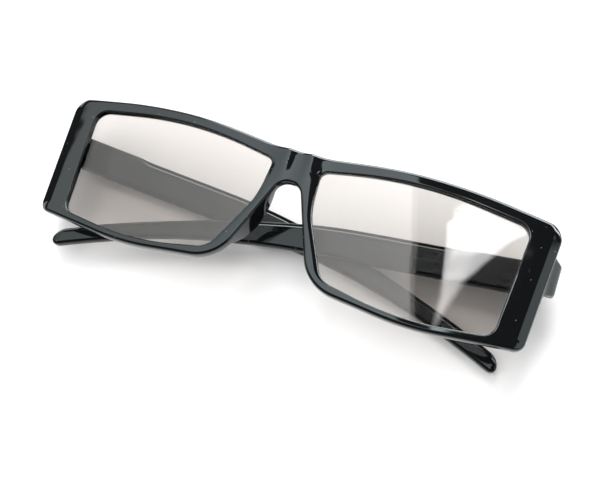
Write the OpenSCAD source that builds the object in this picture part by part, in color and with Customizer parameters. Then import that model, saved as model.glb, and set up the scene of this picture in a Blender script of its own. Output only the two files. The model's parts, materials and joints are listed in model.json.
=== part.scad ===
// Folding polarised viewing glasses, lying folded on a table. Millimetres, +Z up.
// Every piece is shaped in the front's own frame: X to the wearer's left, Y up the face,
// Z out through the lenses. lay() then sets the folded glasses down on the table.

/* [Front outline] */
// Width across the top outer corners
front_w = 147.2; // [135:0.1:160]
// Width across the bottom outer corners
front_foot_w = 142.6; // [130:0.1:158]
// Radius that the front is wrapped to
wrap_r = 250; // [220:5:600]
// Thickness of the front, face to back
front_t = 3.4; // [3.2:0.1:5]
// Height of the bridge's upper edge
bridge_top = 16.3; // [14.5:0.1:19]
// Half the length of the level stretch over the bridge
bridge_x = 7; // [4:0.5:10]
// Distance of the brow's high point from the middle
brow_x = 36.5; // [28:0.5:44]
// Height of the brow line's high point
brow_top = 20.1; // [18:0.1:26]
// Height of the top outer corners
side_top = 18; // [16:0.1:22]
// Depth of the bottom outer corners below the middle
side_foot = 17.9; // [14:0.1:20]
// Distance of the lowest point of the rim from the middle
cheek_x = 41; // [32:0.5:48]
// Depth of the rim's lowest point
cheek_low = 22.3; // [20:0.1:28]
// Distance of the nose opening's foot from the middle
nose_x = 13; // [11.5:0.1:17]
// Depth of the nose opening's foot
nose_low = 19.6; // [17:0.1:24]
// Half the width of the arch over the nose
arch_x = 2.7; // [2.2:0.1:4]
// Height of the arch over the nose
arch_top = 6.7; // [4:0.1:9]
// Radius of the top outer corners
corner_r = 4.5; // [2:0.1:7]
// Radius of the bottom outer corners
foot_r = 3.2; // [2:0.1:6]
// Radius at the nose opening's foot
nose_r = 12; // [8:0.5:14]
// Radius at the top of the arch
arch_r = 3.5; // [2:0.1:4]
// Radius of the soft bends along the brow and the cheek
soft_r = 75; // [30:5:110]

/* [Rims] */
// Width of the rim over the eye
rim_top = 3; // [2.6:0.1:5]
// Drop from the bridge's upper edge to the eye's nose corner
rim_bridge = 4.1; // [3.4:0.1:6]
// Width of the rim at the outer side
rim_side = 8.5; // [6:0.1:12]
// Width of the rim under the eye
rim_bottom = 1.5; // [1.4:0.1:3]
// Height of the rim at the bottom outer corner
rim_foot = 1.2; // [1:0.1:3]
// Width of the rim beside the nose, at the arch
rim_nose = 2.5; // [2.4:0.1:4]
// Width of the rim beside the nose, at its foot
rim_nose_foot = 4.3; // [2.6:0.1:5]
// Gap between the two eye openings at the bridge
eye_gap = 14; // [12:0.1:18]
// Radius of the eye's upper nose corner
eye_in_r = 2.4; // [1.5:0.1:4]
// Radius of the eye's outer corners
eye_out_r = 4; // [2:0.1:6]
// Radius of the eye's lower nose corner
eye_nose_r = 6; // [3:0.5:9]
// Rounding of the front edge along the rims
edge_r = 0.9; // [0.5:0.1:1.1]
// Rounding of the front edge at the outer ends
end_edge_r = 2.8; // [1:0.1:4]
// Depth of the rounding at the outer ends
end_edge_d = 1.5; // [0.8:0.1:2]
// Rounding of the back edge
back_edge_r = 0.7; // [0.3:0.1:0.8]

/* [Lenses] */
// Thickness of the quarter-wave film that faces the screen
retarder_t = 0.3; // [0.2:0.05:0.4]
// Thickness of the polarising film
polariser_t = 0.3; // [0.2:0.05:0.4]
// Thickness of the clear lens that carries the films
carrier_t = 0.5; // [0.4:0.05:0.8]
// Bond line between two layers
bond_t = 0.02; // [0.01:0.01:0.05]
// Depth of the lens groove in the rim
groove_d = 0.6; // [0.4:0.05:0.7]
// Thickness of the lip in front of the lens
lip_t = 1.2; // [0.8:0.1:1.5]
// Room between a lens and its groove
lens_fit = 0.06; // [0.03:0.01:0.1]

/* [Nose pads] */
// Reach of a moulded nose pad behind the front
pad_d = 7.5; // [4:0.5:10]
// Thickness of a nose pad
pad_t = 1.7; // [1.4:0.1:1.8]

/* [End pieces and hinges] */
// How far an end piece stands out past the front's corner
lug_out = 1.7; // [0.5:0.1:3]
// Depth of the end piece's butt face behind the bridge
lug_back = 19; // [18:0.5:24]
// Height of the hinge's middle above the lens centre
hinge_y = 5; // [3:0.1:7]
// Fillet where an end piece grows out of the front
lug_fillet = 4.5; // [3:0.5:6]
// Radius of a hinge barrel
barrel_r = 1.6; // [1.3:0.05:2]
// Radius of a hinge screw's shank
screw_r = 0.65; // [0.5:0.05:0.8]
// Length of the middle barrel
mid_barrel = 2.4; // [1.8:0.1:3]
// Length of each outer barrel
side_barrel = 1.6; // [1.2:0.1:2.2]
// Radius of a screw head
head_r = 1.15; // [1:0.05:1.5]
// Height of a screw head
head_h = 0.6; // [0.4:0.05:0.9]
// Thickness of a hinge leaf
leaf_t = 0.8; // [0.6:0.05:1]
// Length of a leaf on the front
leaf_front = 4.2; // [3.5:0.1:4.6]
// Length of a leaf in a temple
leaf_temple = 9; // [6:0.5:12]
// Running room between a barrel and its screw
run_fit = 0.05; // [0.02:0.01:0.09]
// Room between neighbouring barrels
barrel_fit = 0.1; // [0.05:0.01:0.2]
// Room round a leaf in its pocket
leaf_fit = 0.05; // [0.02:0.01:0.1]
// Room between a temple and its end piece when open
butt_fit = 0.25; // [0.15:0.05:0.5]

/* [Temples] */
// Length of a temple from its hinge to its tip
temple_l = 135; // [120:1:150]
// Height of a temple at the hinge
temple_h = 9.5; // [9:0.1:13]
// Height of a temple near its tip
tip_h = 5.3; // [5:0.1:8]
// Thickness of a temple at the hinge
temple_t = 4.2; // [3.6:0.1:5]
// Thickness of a temple along its arm
arm_t = 3.6; // [3:0.1:4.5]
// Angle at which a temple drops away from its hinge
drop = 5.2; // [0:0.1:10]
// Length of the straight run before the ear curve
straight_l = 51; // [30:1:70]
// Radius of the ear curve
ear_r = 226; // [150:2:400]
// Radius of the inward bow along a temple
bow_r = 1200; // [700:50:2400]
// Bulge of a temple's outer face
crown = 0.5; // [0.2:0.1:0.8]
// Width of the bevel along a temple's inner upper edge
bevel = 1.5; // [0.5:0.1:2]
// Distance from the hinge at which that bevel starts
bevel_start = 15; // [14:0.5:30]
// Rounding of a temple's long edges
temple_edge = 1; // [0.5:0.1:1.5]

/* [Folded pose] */
// Angle of the temple that is folded first, from straight back
fold_first = 90; // [86:0.5:92]
// Lean of both folded temples within the play of their hinges
lean = 0.6; // [0:0.1:0.8]
// Room between the two folded temples where they cross
cross_fit = 0.4; // [0.3:0.05:1]
// Tilt of the front, brow up
lie_pitch = 8.3; // [0:0.1:25]
// Tilt of the front, the wearer's left end up
lie_roll = 1.8; // [-5:0.1:10]

/* [Hidden] */
$fn = 48;

// Stations along each outline: points on a corner, then points on each straight run
arc_n = 5;
run_n = [2, 4, 5, 5, 5, 3, 10, 1];

lens_t = retarder_t + polariser_t + carrier_t + 2 * bond_t;
hinge_in = barrel_r + 0.2;
hinge_x = front_w / 2 + lug_out - temple_t - hinge_in;
hinge_z = -lug_back;
leaf_h = mid_barrel + 2 * barrel_fit + 2 * side_barrel;
leaf_gap = 1.2;
// The second temple lies over the first, so it stops short by the first one's thickness.
// The two bow toward the front, so they come closest a little way from the middle.
cross_x = 14;
fold_second = fold_first - asin((arm_t + cross_fit + 2 * hinge_x * cross_x / bow_r) / (hinge_x + cross_x));

function unit(v) = v / norm(v);
function left_of(d) = [-d.y, d.x];
function ease(t) = let (k = min(1, max(0, t))) k * k * (3 - 2 * k);
function xy(c) = [c[0], c[1]];
function wrap_z(x) = sqrt(wrap_r * wrap_r - x * x) - wrap_r;
function turn_y(p, a) = [p.x * cos(a) + p.z * sin(a), p.y, p.z * cos(a) - p.x * sin(a)];
function turn_z(p, a) = [p.x * cos(a) - p.y * sin(a), p.x * sin(a) + p.y * cos(a), p.z];
function turn_x(p, a) = [p.x, p.y * cos(a) - p.z * sin(a), p.y * sin(a) + p.z * cos(a)];
function flat(list) = [for (part = list) each part];

// One rounded corner as [point, side normal] stations; the normal lies left of travel
function corner(a, b, c, r) =
  let (u = unit(a - b), v = unit(c - b), half = acos(u * v) / 2)
  let (middle = b + unit(u + v) * r / sin(half))
  let (start = b + u * r / tan(half) - middle)
  let (way = sign(u.x * v.y - u.y * v.x), sweep = 180 - 2 * half)
  [for (i = [0:arc_n]) let (t = atan2(start.y, start.x) - way * sweep * i / arc_n)
    [middle + r * [cos(t), sin(t)], way * [cos(t), sin(t)]]];

// An open path through its corners, with its straight runs split up
function outline(c, n0, n1) =
  let (m = len(c) - 1)
  let (bends = [for (i = [1:m - 1]) corner(xy(c[i - 1]), xy(c[i]), xy(c[i + 1]), c[i][2])])
  concat([[xy(c[0]), n0]], flat([for (i = [0:m - 1])
    let (a = i == 0 ? xy(c[0]) : bends[i - 1][arc_n][0])
    let (b = i == m - 1 ? xy(c[m]) : bends[i][0][0])
    let (side = left_of(unit(b - a)))
    concat([for (k = [1:run_n[i]]) [a + (b - a) * k / (run_n[i] + 1), side]],
      i < m - 1 ? bends[i] : [])]), [[xy(c[m]), n1]]);

// Half the front's outer edge, from the middle of the bridge round to the arch
rim_edge = outline([[0, bridge_top], [bridge_x, bridge_top, soft_r / 3], [brow_x, brow_top, soft_r],
  [front_w / 2, side_top, corner_r], [front_foot_w / 2, -side_foot, foot_r], [cheek_x, -cheek_low, soft_r],
  [nose_x, -nose_low, nose_r], [arch_x, arch_top, arch_r], [0, arch_top]], [0, 1], [0, -1]);

// The eye opening keeps its rim's widths from that edge
function nose_edge(y) = arch_x + (nose_x - arch_x) * (arch_top - y) / (arch_top + nose_low);
eye_nose = [nose_edge(rim_bottom * 1.8 - nose_low) + rim_nose_foot, rim_bottom * 1.8 - nose_low];
eye_mid = [nose_edge(0.5) + rim_nose, 0.5];
eye_in = [eye_gap / 2, bridge_top - rim_bridge];
nose_side = left_of(unit(eye_in - eye_mid));
eye_edge = outline([eye_mid + (eye_in - eye_mid) * 0.78, [eye_in.x, eye_in.y, eye_in_r],
  [brow_x - 4, brow_top - rim_top, soft_r], [front_w / 2 - rim_side, side_top - rim_top, eye_out_r],
  [front_foot_w / 2 - rim_side, rim_foot - side_foot, eye_out_r], [cheek_x - 3, rim_bottom - cheek_low, soft_r],
  [eye_nose.x, eye_nose.y, eye_nose_r], [eye_mid.x, eye_mid.y, soft_r / 3],
  eye_mid + (eye_in - eye_mid) * 0.62], nose_side, nose_side);

// A nose pad swells smoothly along the nose side of the rim
function pad_share(q) = let (u = (q.y + nose_low - nose_r / 2) / (arch_top + nose_low - nose_r / 2 - 3))
  q.x < nose_x && u > 0 && u < 1 ? pow(sin(180 * u), 0.8) : 0;

// One cut through the rim, as points from the front edge round the back to the groove
function on_front(p, w) = [p.x, p.y, wrap_z(p.x) + w];
function rim_cut(outer, inner) =
  let (q = outer[0], n = outer[1], p = inner[0], m = inner[1])
  let (side = pow(max(0, n.x), 2), swell = pad_share(q))
  let (r = edge_r + (end_edge_r - edge_r) * side, d = edge_r + (end_edge_d - edge_r) * side)
  let (deep = front_t + pad_d * swell, b = back_edge_r + 0.3 * swell)
  let (wide = b + 0.1 + (pad_t - b - 0.1) * swell, groove = lip_t + lens_t + 2 * lens_fit)
  concat([for (a = [0:22.5:90]) on_front(q - n * r * (1 - sin(a)), -d * (1 - cos(a)))],
    [for (a = [0:45:90]) on_front(q - n * b * (1 - cos(a)), -deep + b * (1 - sin(a)))],
    [on_front(q - n * wide, -deep + 0.5 * swell), on_front(q - n * (wide + 0.2), -front_t),
      on_front(p + m * 0.3, -front_t), on_front(p, 0.3 - front_t), on_front(p, -groove),
      on_front(p + m * groove_d, -groove), on_front(p + m * groove_d, -lip_t), on_front(p, -lip_t),
      on_front(p, -0.35), on_front(p + m * 0.35, 0)]);

cuts = [for (i = [0:len(rim_edge) - 1]) rim_cut(rim_edge[i], eye_edge[i])];
cut_n = len(cuts[0]);

// Triangles between rings of m points each; a loop also joins the last ring to the first
function skin(rings, m, loop) = [for (i = [0:rings - (loop ? 1 : 2)], k = [0:m - 1])
  let (j = (i + 1) % rings, l = (k + 1) % m)
  each [[i * m + k, j * m + k, j * m + l], [i * m + k, j * m + l, i * m + l]]];
function reversed(list) = [for (i = [len(list) - 1:-1:0]) list[i]];

// A solid through rings of points, closed at both ends
module loft(rings) {
  m = len(rings[0]);
  n = len(rings);
  polyhedron(flat(rings), concat([reversed([for (k = [0:m - 1]) k])], [for (f = skin(n, m, false)) reversed(f)],
    [[for (k = [0:m - 1]) (n - 1) * m + k]]));
}

// Both rims and the bridge as one skin; the halves meet in the middle plane
module rims() {
  half = flat(cuts);
  count = len(half);
  // The seam's outer faces lie in the middle plane, inside the bridge, so they are left out
  faces = [for (f = skin(len(cuts), cut_n, true))
    if (max([for (i = f) abs(half[i].x)]) > 0.001) reversed(f)];
  polyhedron(concat(half, [for (p = half) [-p.x, p.y, p.z]]),
    concat(faces, [for (f = faces) reversed([for (i = f) i + count])]));
}

// A ring of points round a rectangle with rounded corners, in the XY plane
function round_ring(x0, x1, y0, y1, r, z) = [for (c = [[x1, y1, 0], [x0, y1, 90], [x0, y0, 180], [x1, y0, 270]],
  a = [0:30:90]) let (t = c[2] + a, s = [c[0] == x1 ? -1 : 1, c[1] == y1 ? -1 : 1])
  [c[0] + r * (s.x + cos(t)), c[1] + r * (s.y + sin(t)), z]];

// The end piece flares out of the front's back and ends in the temple's butt face
lug_x = front_w / 2 + lug_out;
lug_root = wrap_z(front_w / 2) - front_t / 2;
lug_rings = [for (k = [0:9]) let (u = k / 9, z = lug_root * (1 - u) + (hinge_z + butt_fit / 2) * u)
  let (free = max(0, wrap_z(hinge_x) - front_t - z))
  let (swell = lug_fillet - sqrt(pow(lug_fillet, 2) - pow(max(0, lug_fillet - free), 2)))
  round_ring(lug_x - temple_t - swell * 0.7, front_w / 2 - 1.3 + (lug_out + 1.3) * ease(u * 1.25),
    hinge_y - temple_h / 2 - swell, hinge_y + temple_h / 2 + swell, temple_edge, z)];

// Side view of a temple, from its hinge back: the height of its middle, and its own height
function mid_y(s) = let (e = max(0, s - straight_l)) hinge_y - s * tan(drop) - e * e / 2 / ear_r;
function tall(s) = temple_h + (tip_h - temple_h) * ease((s - straight_l + 10) / (temple_l - straight_l - 10));
function thick(s) = temple_t + (arm_t - temple_t) * ease((s - bevel_start) / 20);
function inner_u(s) = hinge_in - s * s / 2 / bow_r;

// A temple's cut at distance s, shrunk by k toward the rounded tip
function temple_cut(s, k) =
  let (h = tall(s) * k / 2, t = thick(s) * (0.4 + 0.6 * k), y = mid_y(s), r = temple_edge * k)
  let (u0 = inner_u(s) + (thick(s) - t) / 2, u1 = u0 + t)
  let (b = max(0.4, bevel * ease((s - bevel_start) / 6)) * k, c = crown * (0.2 + 0.8 * ease(s / 12)) * k, e = u1 - c - r)
  concat([for (a = [0:30:90]) [e + r * cos(a), y + h - r + r * sin(a), -s]],
    [[u0 + b * 0.8, y + h, -s], [u0, y + h - b, -s]],
    [for (a = [180:30:270]) [u0 + r + r * cos(a), y - h + r + r * sin(a), -s]],
    [for (a = [270:30:360]) [e + r * cos(a), y - h + r + r * sin(a), -s]],
    [for (v = [-0.5:0.5:0.5]) [u1 - c * v * v, y + (h - r) * v, -s]]);

tip_r = tip_h / 2;
arm_n = 30;
temple_rings = concat(
  [for (k = [0:arm_n]) temple_cut(butt_fit / 2 + (temple_l - tip_r - butt_fit / 2) * k / arm_n, 1)],
  [for (a = [20:20:80]) temple_cut(temple_l - tip_r + tip_r * sin(a), cos(a))]);

// The table under the folded glasses: the lowest point touches it, and the middle is centred
function as_left(p) = turn_z(turn_y(p - [0, hinge_y, 0], fold_first), lean) + [hinge_x, hinge_y, hinge_z];
function as_right(p) = let (q = turn_y(p - [0, hinge_y, 0], fold_second))
  turn_z([-q.x, q.y, q.z], lean) + [-hinge_x, hinge_y, hinge_z];
function laid(p) = turn_x(turn_y(p, -lie_roll), lie_pitch);
shell = concat(flat(cuts), flat(lug_rings));
laid_points = [for (p = concat(shell, [for (p = shell) [-p.x, p.y, p.z]],
  [for (p = flat(temple_rings)) as_left(p)], [for (p = flat(temple_rings)) as_right(p)])) laid(p)];
low = [for (i = [0:2]) min([for (p = laid_points) p[i]])];
high = [for (i = [0:2]) max([for (p = laid_points) p[i]])];

module lay() {
  translate([-(low.x + high.x) / 2, -(low.y + high.y) / 2, -low.z])
    rotate([lie_pitch, 0, 0])
      rotate([0, -lie_roll, 0])
        children();
}

// Puts a piece that is drawn for the wearer's left on either side of the front
module on_side(left) {
  if (left) children();
  else mirror([1, 0, 0]) children();
}

// Puts a piece drawn round a hinge's axis, temple straight back, at its folded place
module folded(left) {
  lay() translate([left ? hinge_x : -hinge_x, hinge_y, hinge_z]) rotate([0, 0, lean]) on_side(left)
    rotate([0, left ? fold_first : fold_second, 0]) translate([0, -hinge_y, 0]) children();
}

module barrel(y, h, bore) {
  translate([0, hinge_y + y - h / 2, 0]) rotate([-90, 0, 0]) difference() {
    cylinder(h = h, r = barrel_r);
    translate([0, 0, -1]) cylinder(h = h + 2, r = bore);
  }
}

// The arm of a leaf, from its barrel to its plate, with the screw's hole kept clear
module leaf_arm(y, h, bore) {
  difference() {
    translate([0, hinge_y + y - h / 2, 0.2]) cube([hinge_in + leaf_t, h, leaf_gap + 0.3]);
    translate([0, hinge_y + y - h / 2 - 1, 0]) rotate([-90, 0, 0]) cylinder(h = h + 2, r = bore);
  }
}

module leaf_plate(l) {
  translate([hinge_in, hinge_y - leaf_h / 2, leaf_gap]) cube([leaf_t, leaf_h, l]);
}

// The room that a leaf takes in the plastic, open toward the hinge
module leaf_pocket(l) {
  translate([hinge_in - 2, hinge_y - leaf_h / 2 - leaf_fit, -2])
    cube([leaf_t + leaf_fit + 2, leaf_h + 2 * leaf_fit, l + leaf_gap + leaf_fit + 2]);
}

side_at = mid_barrel / 2 + barrel_fit + side_barrel / 2;
thread_fit = run_fit / 2;

module front_leaf() {
  color("#b9bcc0") union() {
    leaf_plate(leaf_front);
    barrel(side_at, side_barrel, screw_r + run_fit);
    leaf_arm(side_at, side_barrel, screw_r + run_fit);
    barrel(-side_at, side_barrel, screw_r + thread_fit);
    leaf_arm(-side_at, side_barrel, screw_r + thread_fit);
  }
}

module temple_leaf() {
  color("#b9bcc0") mirror([0, 0, 1]) union() {
    leaf_plate(leaf_temple);
    barrel(0, mid_barrel, screw_r + run_fit);
    leaf_arm(0, mid_barrel, screw_r + run_fit);
  }
}

module hinge_screw() {
  color("#c9ccd0") translate([0, hinge_y, 0]) rotate([-90, 0, 0]) difference() {
    union() {
      translate([0, 0, -leaf_h / 2]) cylinder(h = leaf_h, r = screw_r);
      translate([0, 0, leaf_h / 2]) cylinder(h = head_h, r = head_r);
    }
    translate([-head_r - 1, -head_h / 4, leaf_h / 2 + head_h / 2]) cube([2 * head_r + 2, head_h / 2, head_h]);
  }
}

module temple() {
  color("#17181b") difference() {
    loft(temple_rings);
    mirror([0, 0, 1]) leaf_pocket(leaf_temple);
  }
}

// One layer of a lens: the eye's outline, grown into the groove, between two wrapped faces
module lens_layer(from, t) {
  intersection() {
    translate([0, 0, wrap_z(front_w / 2) - front_t]) linear_extrude(2 * front_t - wrap_z(front_w / 2))
      polygon([for (e = eye_edge) e[0] + e[1] * (groove_d - lens_fit)]);
    translate([0, 0, -wrap_r]) rotate([90, 0, 0]) difference() {
      cylinder(h = 4 * cheek_low, r = wrap_r - from, center = true);
      cylinder(h = 4 * cheek_low + 2, r = wrap_r - from - t, center = true);
    }
  }
}

module front_frame() {
  color("#17181b") lay() difference() {
    union() {
      rims();
      loft(lug_rings);
      mirror([1, 0, 0]) loft(lug_rings);
    }
    for (left = [true, false]) on_side(left) translate([hinge_x, 0, hinge_z]) leaf_pocket(leaf_front);
  }
}

module retarder(left) {
  color("#d9dcd6", 0.5) lay() on_side(left) lens_layer(lip_t + lens_fit, retarder_t);
}

module polariser(left) {
  color("#8e938f", 0.5) lay() on_side(left) lens_layer(lip_t + lens_fit + retarder_t + bond_t, polariser_t);
}

module carrier(left) {
  color("#e4e8ea", 0.5) lay() on_side(left)
    lens_layer(lip_t + lens_fit + retarder_t + polariser_t + 2 * bond_t, carrier_t);
}

module at_hinge(left) {
  lay() on_side(left) translate([hinge_x, 0, hinge_z]) children();
}

module left_retarder() { retarder(true); }
module left_polariser() { polariser(true); }
module left_carrier() { carrier(true); }
module right_retarder() { retarder(false); }
module right_polariser() { polariser(false); }
module right_carrier() { carrier(false); }
module left_front_leaf() { at_hinge(true) front_leaf(); }
module right_front_leaf() { at_hinge(false) front_leaf(); }
module left_hinge_screw() { at_hinge(true) hinge_screw(); }
module right_hinge_screw() { at_hinge(false) hinge_screw(); }
module left_temple() { folded(true) temple(); }
module left_temple_leaf() { folded(true) temple_leaf(); }
module right_temple() { folded(false) temple(); }
module right_temple_leaf() { folded(false) temple_leaf(); }

front_frame();
left_retarder();
left_polariser();
left_carrier();
right_retarder();
right_polariser();
right_carrier();
left_front_leaf();
right_front_leaf();
left_hinge_screw();
right_hinge_screw();
left_temple();
left_temple_leaf();
right_temple();
right_temple_leaf();
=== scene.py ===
"""Looks of folded polarised viewing glasses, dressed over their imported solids.

Sizes are millimetres in the front's own frame: X to the wearer's left, Y up the face and
Z out through the lenses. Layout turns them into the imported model's metres.
"""

import json
import logging
import math
from dataclasses import dataclass
from enum import Enum
from functools import partialmethod

import bmesh
import bpy
from bpy.types import ID, Material, Mesh, Node, NodeSocket, NodeTree, Object
from mathutils import Matrix, Vector


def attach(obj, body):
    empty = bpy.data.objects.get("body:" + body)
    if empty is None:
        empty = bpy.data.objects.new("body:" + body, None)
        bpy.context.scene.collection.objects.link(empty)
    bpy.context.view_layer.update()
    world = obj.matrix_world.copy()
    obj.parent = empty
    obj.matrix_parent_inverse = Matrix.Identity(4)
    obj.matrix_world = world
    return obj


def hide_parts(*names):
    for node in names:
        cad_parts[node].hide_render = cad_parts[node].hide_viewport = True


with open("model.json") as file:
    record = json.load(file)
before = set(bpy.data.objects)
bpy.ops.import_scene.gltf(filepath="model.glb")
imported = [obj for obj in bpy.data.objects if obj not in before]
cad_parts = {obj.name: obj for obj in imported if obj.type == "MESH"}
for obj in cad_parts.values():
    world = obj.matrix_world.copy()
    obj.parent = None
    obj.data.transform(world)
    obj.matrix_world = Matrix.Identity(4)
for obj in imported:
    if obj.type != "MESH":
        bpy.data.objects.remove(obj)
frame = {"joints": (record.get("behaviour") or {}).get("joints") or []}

LOG = logging.getLogger("viewing_glasses")
Triple = tuple[float, float, float]
Station = tuple[Vector, Vector]
MILLIMETRE = 0.001
AS_DRAWN = Matrix.Identity(4)
FLIP_Z = Matrix.Diagonal((1, 1, -1, 1))


class Side(Enum):
    """The two sides of the glasses, as their wearer has them."""

    LEFT = 1
    RIGHT = -1

    @property
    def word(self) -> str:
        """The side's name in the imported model."""
        return self.name.lower()

    @property
    def flip(self) -> Matrix:
        """What takes a piece drawn for the left side to this side."""
        return Matrix.Diagonal((self.value, 1, 1, 1))


class Slot(Enum):
    """The record's material slot names, which each piece is handed along with its material."""

    FRAME = "frame_black"
    TEMPLE = "temple_black"
    LENS = "lens_carrier"
    HINGE = "hinge_steel"
    SCREW = "screw_steel"


def ease(t: float) -> float:
    """A smooth step from 0 to 1."""
    k = min(1.0, max(0.0, t))
    return k * k * (3 - 2 * k)


def quarter(n: int) -> list[float]:
    """The angles of a quarter turn in equal steps."""
    return [math.pi / 2 * i / n for i in range(n + 1)]


def turn_about(axis: str, degrees: float) -> Matrix:
    """A turn about one axis, as a 4x4 matrix."""
    return Matrix.Rotation(math.radians(degrees), 4, axis)


@dataclass(frozen=True)
class Hinges:
    """Where the hinges sit, how the temples fold about them, and the sizes that meet there."""

    front_w: float = 147.2
    lug_out: float = 1.7
    lug_back: float = 19.0
    butt_fit: float = 0.25
    temple_h: float = 9.5
    temple_t: float = 4.2
    temple_edge: float = 1.0
    arm_t: float = 3.6
    bow_r: float = 1200.0
    barrel_r: float = 1.6
    barrel_room: float = 0.2
    leaf_front: float = 4.2
    leaf_temple: float = 9.0
    leaf_span: float = 5.8
    leaf_t: float = 0.8
    leaf_gap: float = 1.2
    hinge_y: float = 5.0
    fold_first: float = 90.0
    lean: float = 0.6
    cross_fit: float = 0.4
    cross_x: float = 14.0

    @property
    def inward(self) -> float:
        """Distance from a hinge's axis to its temple's inner face."""
        return self.barrel_r + self.barrel_room

    @property
    def x(self) -> float:
        """Distance of a hinge's axis from the middle."""
        return self.front_w / 2 + self.lug_out - self.temple_t - self.inward

    def centre(self, side: Side) -> Vector:
        """The middle of a hinge in the front's frame."""
        return Vector((side.value * self.x, self.hinge_y, -self.lug_back))

    def fold(self, side: Side) -> float:
        """Angle of a folded temple; the second one stops at the first one's back.

        Args:
            side: The temple's side.

        Returns:
            The angle in degrees from straight back.
        """
        if side is Side.LEFT:
            return self.fold_first
        bowed = 2 * self.x * self.cross_x / self.bow_r
        stop = (self.arm_t + self.cross_fit + bowed) / (self.x + self.cross_x)
        return self.fold_first - math.degrees(math.asin(stop))

    def on_front(self, side: Side) -> Matrix:
        """Puts a piece drawn round the left hinge's axis on either side of the front."""
        return side.flip @ Matrix.Translation(self.centre(Side.LEFT))

    def folded(self, side: Side) -> Matrix:
        """Puts a piece drawn round the hinge's axis, straight back, at its folded place."""
        place = Matrix.Translation(self.centre(side)) @ turn_about("Z", self.lean)
        return place @ side.flip @ turn_about("Y", self.fold(side))


HINGES = Hinges()


@dataclass(frozen=True)
class Layout:
    """How the folded glasses lie on the table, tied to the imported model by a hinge's place."""

    pitch: float = 8.3
    roll: float = 1.8

    def matrix(self) -> Matrix:
        """The way from the front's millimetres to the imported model's metres.

        Returns:
            A 4x4 matrix that turns, moves and scales a point.
        """
        joint = next(j for j in frame["joints"] if j["name"] == "left_hinge")
        turn = turn_about("X", self.pitch) @ turn_about("Y", -self.roll)
        scaled = turn @ Matrix.Scale(MILLIMETRE, 4)
        shift = Vector(joint["pos_m"]) - scaled @ HINGES.centre(Side.LEFT)
        return Matrix.Translation(shift) @ scaled


PLACE = Layout().matrix()
TURN = PLACE.to_3x3().normalized()


class Term:
    """A value inside a node tree that takes part in plain arithmetic."""

    def __init__(self, tree: NodeTree, source: NodeSocket | float) -> None:
        """Keeps the tree and the socket or number that the value comes from."""
        self.tree = tree
        self.source = source

    def _math(self, operation: str, *others: "Term | float") -> "Term":
        """Adds a math node.

        Args:
            operation: Name of the node's operation.
            others: Its further inputs, as terms or numbers.

        Returns:
            The node's result.
        """
        inputs = dict(enumerate((self, *others)))
        node = Sheet(self.tree).node("ShaderNodeMath", inputs, operation=operation)
        return Term(self.tree, node.outputs[0])

    __add__ = partialmethod(_math, "ADD")
    __sub__ = partialmethod(_math, "SUBTRACT")
    __mul__ = partialmethod(_math, "MULTIPLY")
    __truediv__ = partialmethod(_math, "DIVIDE")
    at_least = partialmethod(_math, "MAXIMUM")
    at_most = partialmethod(_math, "MINIMUM")
    tangent = partialmethod(_math, "TANGENT")

    def eased(self) -> "Term":
        """A smooth step from 0 to 1."""
        k = self.at_least(0.0).at_most(1.0)
        return k * k * (k * -2.0 + 3.0)


class Sheet:
    """Short ways to build a node tree."""

    def __init__(self, tree: NodeTree) -> None:
        """Keeps the tree."""
        self.tree = tree

    def node(self, kind: str, inputs: dict | None = None, **settings: object) -> Node:
        """Adds a node.

        Args:
            kind: The node's type.
            inputs: What its inputs take, by their names or numbers.
            settings: Its options.

        Returns:
            The node.
        """
        node = self.tree.nodes.new(kind)
        for option, value in settings.items():
            setattr(node, option, value)
        self.feed(node, inputs or {})
        return node

    def feed(self, node: Node, inputs: dict) -> None:
        """Fills a node's inputs.

        Args:
            node: The node.
            inputs: Values to set, or sockets, terms and nodes to link, by the inputs' names or numbers.
        """
        for name, value in inputs.items():
            source = value.source if isinstance(value, Term) else value
            source = source.outputs[0] if isinstance(source, Node) else source
            if isinstance(source, NodeSocket):
                self.tree.links.new(source, node.inputs[name])
            else:
                node.inputs[name].default_value = source

    def term(self, source: NodeSocket | float) -> Term:
        """A socket or a number that takes part in arithmetic."""
        return Term(self.tree, source)

    def ramp(self, value: object, low: float, high: float, to: tuple[float, float] = (0.0, 1.0)) -> Term:
        """Maps a range of values onto another, smoothly and within its ends.

        Args:
            value: What is mapped.
            low: The range's start.
            high: The range's end.
            to: The values that the start and the end turn into.

        Returns:
            The mapped value.
        """
        ends = {"From Min": low, "From Max": high, "To Min": to[0], "To Max": to[1]}
        node = self.node("ShaderNodeMapRange", {"Value": value, **ends}, interpolation_type="SMOOTHSTEP")
        return self.term(node.outputs["Result"])

    def blend(self, share: Term, a: Triple, b: Triple) -> NodeSocket:
        """A colour on the way from one to another."""
        inputs = {"Factor": share, 6: (*a, 1), 7: (*b, 1)}
        return self.node("ShaderNodeMix", inputs, data_type="RGBA").outputs[2]

    def bump(self, height: Term, reach: float, strength: float = 1.0) -> Node:
        """A normal that leans with a height."""
        return self.node("ShaderNodeBump", {"Height": height, "Strength": strength, "Distance": reach})

    def dot(self, way: NodeSocket, axis: Vector, label: str) -> Term:
        """How far a direction runs along an axis.

        Args:
            way: The direction.
            axis: The axis, as a unit vector or a scaled one.
            label: What the node is called in the editor.

        Returns:
            Their dot product.
        """
        inputs = {0: way, 1: axis}
        node = self.node("ShaderNodeVectorMath", inputs, operation="DOT_PRODUCT", label=label)
        return self.term(node.outputs["Value"])


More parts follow.
